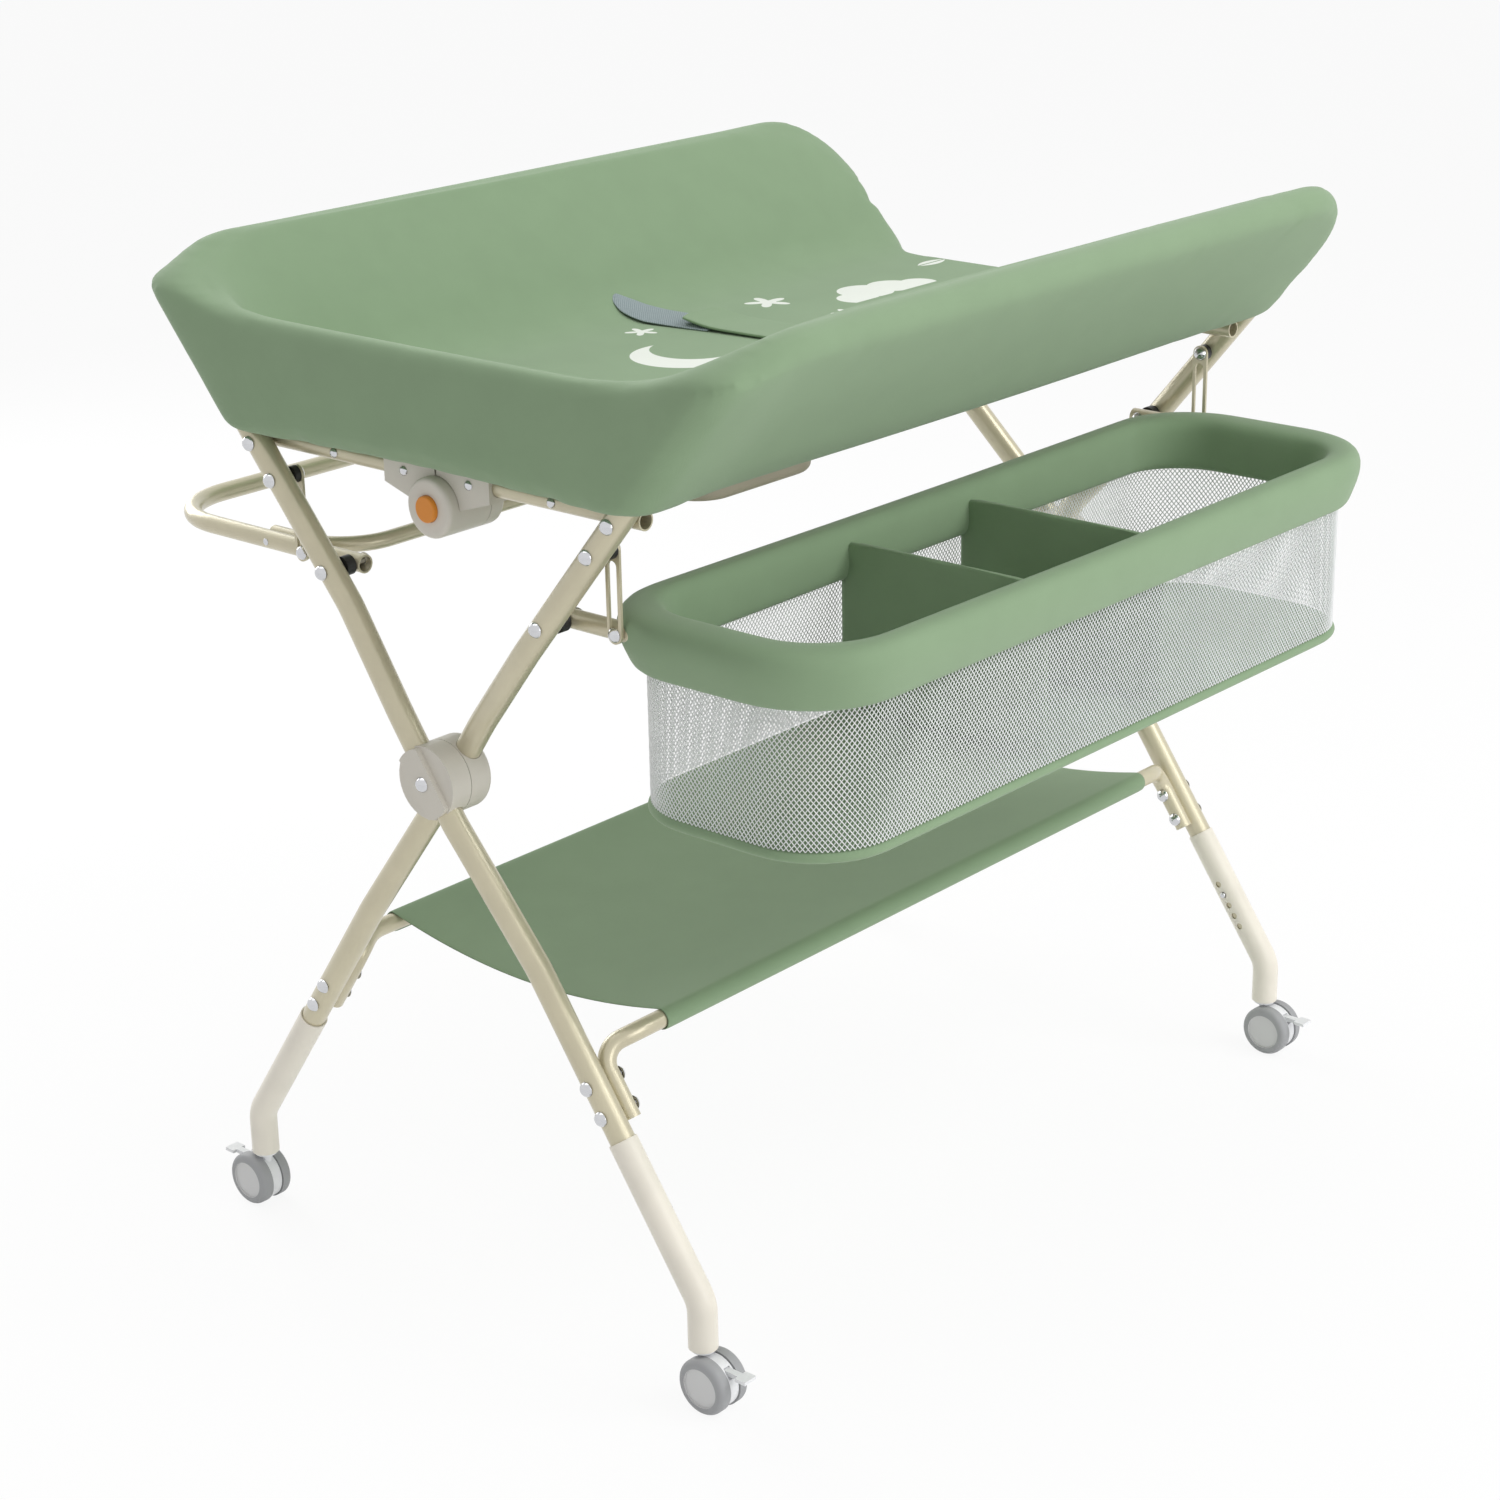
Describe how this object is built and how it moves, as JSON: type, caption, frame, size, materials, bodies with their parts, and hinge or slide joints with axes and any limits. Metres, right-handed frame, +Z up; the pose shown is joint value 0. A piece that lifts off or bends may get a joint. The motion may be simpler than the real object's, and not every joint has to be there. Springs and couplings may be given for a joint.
{
  "type": "changing table",
  "caption": "folding changing table on castors: crossed tube frame, padded cloth top with waist belt, hinged side rings, divided hanging basket and a low cloth shelf",
  "frame": {"origin": "on the floor, under the middle of the table's bounding box", "axes": "+X runs along the table to the open foot end, +Y to the back (the basket hangs at -Y), +Z is up"},
  "size_m": [0.9132, 0.784, 0.8921],
  "materials": {
    "frame_tube": "champagne satin",
    "rivet_steel": "domed, polished",
    "hub_plastic": "warm light grey",
    "cover_fabric": "sage green woven",
    "board_plastic": "dark lining",
    "spacer_plastic": "black",
    "button_orange": "orange",
    "link_steel": "flat bar, satin",
    "net_mesh": "white open net",
    "belt_grey": "grey air mesh",
    "tray_plastic": "beige",
    "sleeve_plastic": "cream",
    "castor_plastic": "white",
    "wheel_rubber": "light grey",
    "brake_plastic": "white"
  },
  "bodies": {
    "back_arch": {"back_arch_tube": "frame_tube", "back_frame_rivets": "rivet_steel", "back_hub_half": "hub_plastic", "back_side_pad": "cover_fabric", "back_ring_spacers": "spacer_plastic", "front_shelf_rail": "frame_tube", "shelf_sling": "cover_fabric", "head_end_wall": "cover_fabric"},
    "front_arch": {"front_arch_tube": "frame_tube", "front_frame_rivets": "rivet_steel", "front_hub_half": "hub_plastic", "front_side_pad": "cover_fabric", "front_ring_spacers": "spacer_plastic", "back_shelf_rail": "frame_tube", "under_tray": "tray_plastic"},
    "back_strut": {"back_strut_tubes": "frame_tube", "back_strut_hubs": "hub_plastic", "back_strut_screws": "rivet_steel", "back_floor_board": "board_plastic", "back_changing_pad": "cover_fabric", "back_belt_pad": "cover_fabric", "belt_mesh": "belt_grey"},
    "front_strut": {"front_strut_tubes": "frame_tube", "front_strut_hubs": "hub_plastic", "front_strut_screws": "rivet_steel", "front_floor_board": "board_plastic", "front_changing_pad": "cover_fabric", "front_belt_pad": "cover_fabric"},
    "head_button": {"head_release_button": "button_orange"},
    "foot_button": {"foot_release_button": "button_orange"},
    "back_ring": {"back_ring_tubes": "frame_tube", "back_ring_pins": "rivet_steel"},
    "front_ring": {"front_ring_tubes": "frame_tube", "front_ring_pins": "rivet_steel", "basket_rim": "cover_fabric", "basket_net": "net_mesh", "basket_base": "cover_fabric", "basket_dividers": "cover_fabric"},
    "back_links": {"back_ring_links": "link_steel"},
    "front_links": {"front_ring_links": "link_steel"},
    "head_back_foot": {"head_back_leg_sleeve": "sleeve_plastic"},
    "head_back_snap": {"head_back_snap_button": "rivet_steel"},
    "head_back_castor": {"head_back_castor_fork": "castor_plastic"},
    "head_back_wheels": {"head_back_castor_wheels": "wheel_rubber"},
    "head_back_brake": {"head_back_brake_lever": "brake_plastic"},
    "head_front_foot": {"head_front_leg_sleeve": "sleeve_plastic"},
    "head_front_snap": {"head_front_snap_button": "rivet_steel"},
    "head_front_castor": {"head_front_castor_fork": "castor_plastic"},
    "head_front_wheels": {"head_front_castor_wheels": "wheel_rubber"},
    "head_front_brake": {"head_front_brake_lever": "brake_plastic"},
    "foot_back_foot": {"foot_back_leg_sleeve": "sleeve_plastic"},
    "foot_back_snap": {"foot_back_snap_button": "rivet_steel"},
    "foot_back_castor": {"foot_back_castor_fork": "castor_plastic"},
    "foot_back_wheels": {"foot_back_castor_wheels": "wheel_rubber"},
    "foot_back_brake": {"foot_back_brake_lever": "brake_plastic"},
    "foot_front_foot": {"foot_front_leg_sleeve": "sleeve_plastic"},
    "foot_front_snap": {"foot_front_snap_button": "rivet_steel"},
    "foot_front_castor": {"foot_front_castor_fork": "castor_plastic"},
    "foot_front_wheels": {"foot_front_castor_wheels": "wheel_rubber"},
    "foot_front_brake": {"foot_front_brake_lever": "brake_plastic"}
  },
  "joints": [
    {"name": "x_fold", "type": "hinge", "parent": "back_arch", "child": "front_arch", "pos_m": [0, 0, 0.485], "axis": [-1, 0, 0], "range_deg": [0, 45], "deforming": ["head_end_wall", "shelf_sling"]},
    {"name": "back_strut_fold", "type": "hinge", "parent": "back_arch", "child": "back_strut", "pos_m": [0, 0.20382, 0.735], "axis": [-1, 0, 0], "range_deg": [0, 93.7]},
    {"name": "front_strut_fold", "type": "hinge", "parent": "back_strut", "child": "front_strut", "pos_m": [0, 0, 0.712], "axis": [1, 0, 0], "range_deg": [0, 140.1]},
    {"name": "head_button_press", "type": "slide", "parent": "back_strut", "child": "head_button", "axis": [1, 0, 0], "range_m": [0, 0.0038], "stiffness_N_per_m": 900},
    {"name": "foot_button_press", "type": "slide", "parent": "back_strut", "child": "foot_button", "axis": [-1, 0, 0], "range_m": [0, 0.0038], "stiffness_N_per_m": 900},
    {"name": "back_ring_tilt", "type": "hinge", "parent": "back_arch", "child": "back_ring", "pos_m": [0, 0.12352, 0.638], "axis": [1, 0, 0], "range_deg": [0, 22]},
    {"name": "front_ring_tilt", "type": "hinge", "parent": "front_arch", "child": "front_ring", "pos_m": [0, -0.12352, 0.638], "axis": [-1, 0, 0], "range_deg": [0, 22]},
    {"name": "back_link_swing", "type": "hinge", "parent": "back_arch", "child": "back_links", "pos_m": [0, 0.18064, 0.707], "axis": [1, 0, 0], "range_deg": [-3, 0]},
    {"name": "front_link_swing", "type": "hinge", "parent": "front_arch", "child": "front_links", "pos_m": [0, -0.18064, 0.707], "axis": [-1, 0, 0], "range_deg": [-3, 0]},
    {"name": "head_back_foot_length", "type": "slide", "parent": "front_arch", "child": "head_back_foot", "axis": [0, 0.5672, -0.8236], "range_m": [-0.0117, 0.0117]},
    {"name": "head_back_snap_press", "type": "slide", "parent": "front_arch", "child": "head_back_snap", "axis": [-1, 0, 0], "range_m": [0, 0.004], "stiffness_N_per_m": 1500, "deforming": ["head_back_snap_button"]},
    {"name": "head_back_swivel", "type": "hinge", "parent": "head_back_foot", "child": "head_back_castor", "pos_m": [-0.426, 0.27, 0.05], "axis": [0, 0, 1], "continuous": true},
    {"name": "head_back_roll", "type": "hinge", "parent": "head_back_castor", "child": "head_back_wheels", "pos_m": [-0.426, 0.28, 0.0245], "axis": [1, 0, 0], "continuous": true},
    {"name": "head_back_brake_tip", "type": "hinge", "parent": "head_back_castor", "child": "head_back_brake", "pos_m": [-0.426, 0.29238, 0.03825], "axis": [-1, 0, 0], "range_deg": [0, 12]},
    {"name": "head_front_foot_length", "type": "slide", "parent": "back_arch", "child": "head_front_foot", "axis": [0, -0.5672, -0.8236], "range_m": [-0.0117, 0.0117]},
    {"name": "head_front_snap_press", "type": "slide", "parent": "back_arch", "child": "head_front_snap", "axis": [-1, 0, 0], "range_m": [0, 0.004], "stiffness_N_per_m": 1500, "deforming": ["head_front_snap_button"]},
    {"name": "head_front_swivel", "type": "hinge", "parent": "head_front_foot", "child": "head_front_castor", "pos_m": [-0.426, -0.27, 0.05], "axis": [0, 0, 1], "continuous": true},
    {"name": "head_front_roll", "type": "hinge", "parent": "head_front_castor", "child": "head_front_wheels", "pos_m": [-0.426, -0.28, 0.0245], "axis": [1, 0, 0], "continuous": true},
    {"name": "head_front_brake_tip", "type": "hinge", "parent": "head_front_castor", "child": "head_front_brake", "pos_m": [-0.426, -0.29238, 0.03825], "axis": [1, 0, 0], "range_deg": [0, 12]},
    {"name": "foot_back_foot_length", "type": "slide", "parent": "front_arch", "child": "foot_back_foot", "axis": [0, 0.5672, -0.8236], "range_m": [-0.0117, 0.0117]},
    {"name": "foot_back_snap_press", "type": "slide", "parent": "front_arch", "child": "foot_back_snap", "axis": [1, 0, 0], "range_m": [0, 0.004], "stiffness_N_per_m": 1500, "deforming": ["foot_back_snap_button"]},
    {"name": "foot_back_swivel", "type": "hinge", "parent": "foot_back_foot", "child": "foot_back_castor", "pos_m": [0.426, 0.27, 0.05], "axis": [0, 0, 1], "continuous": true},
    {"name": "foot_back_roll", "type": "hinge", "parent": "foot_back_castor", "child": "foot_back_wheels", "pos_m": [0.426, 0.28, 0.0245], "axis": [1, 0, 0], "continuous": true},
    {"name": "foot_back_brake_tip", "type": "hinge", "parent": "foot_back_castor", "child": "foot_back_brake", "pos_m": [0.426, 0.29238, 0.03825], "axis": [-1, 0, 0], "range_deg": [0, 12]},
    {"name": "foot_front_foot_length", "type": "slide", "parent": "back_arch", "child": "foot_front_foot", "axis": [0, -0.5672, -0.8236], "range_m": [-0.0117, 0.0117]},
    {"name": "foot_front_snap_press", "type": "slide", "parent": "back_arch", "child": "foot_front_snap", "axis": [1, 0, 0], "range_m": [0, 0.004], "stiffness_N_per_m": 1500, "deforming": ["foot_front_snap_button"]},
    {"name": "foot_front_swivel", "type": "hinge", "parent": "foot_front_foot", "child": "foot_front_castor", "pos_m": [0.426, -0.27, 0.05], "axis": [0, 0, 1], "continuous": true},
    {"name": "foot_front_roll", "type": "hinge", "parent": "foot_front_castor", "child": "foot_front_wheels", "pos_m": [0.426, -0.28, 0.0245], "axis": [1, 0, 0], "continuous": true},
    {"name": "foot_front_brake_tip", "type": "hinge", "parent": "foot_front_castor", "child": "foot_front_brake", "pos_m": [0.426, -0.29238, 0.03825], "axis": [1, 0, 0], "range_deg": [0, 12]}
  ],
  "couplings": [
    {"joint": "back_strut_fold", "follows": "x_fold", "ratio": 2.08},
    {"joint": "front_strut_fold", "follows": "x_fold", "ratio": 3.1111},
    {"joint": "back_link_swing", "follows": "back_ring_tilt", "ratio": -0.13},
    {"joint": "front_link_swing", "follows": "front_ring_tilt", "ratio": -0.13}
  ]
}
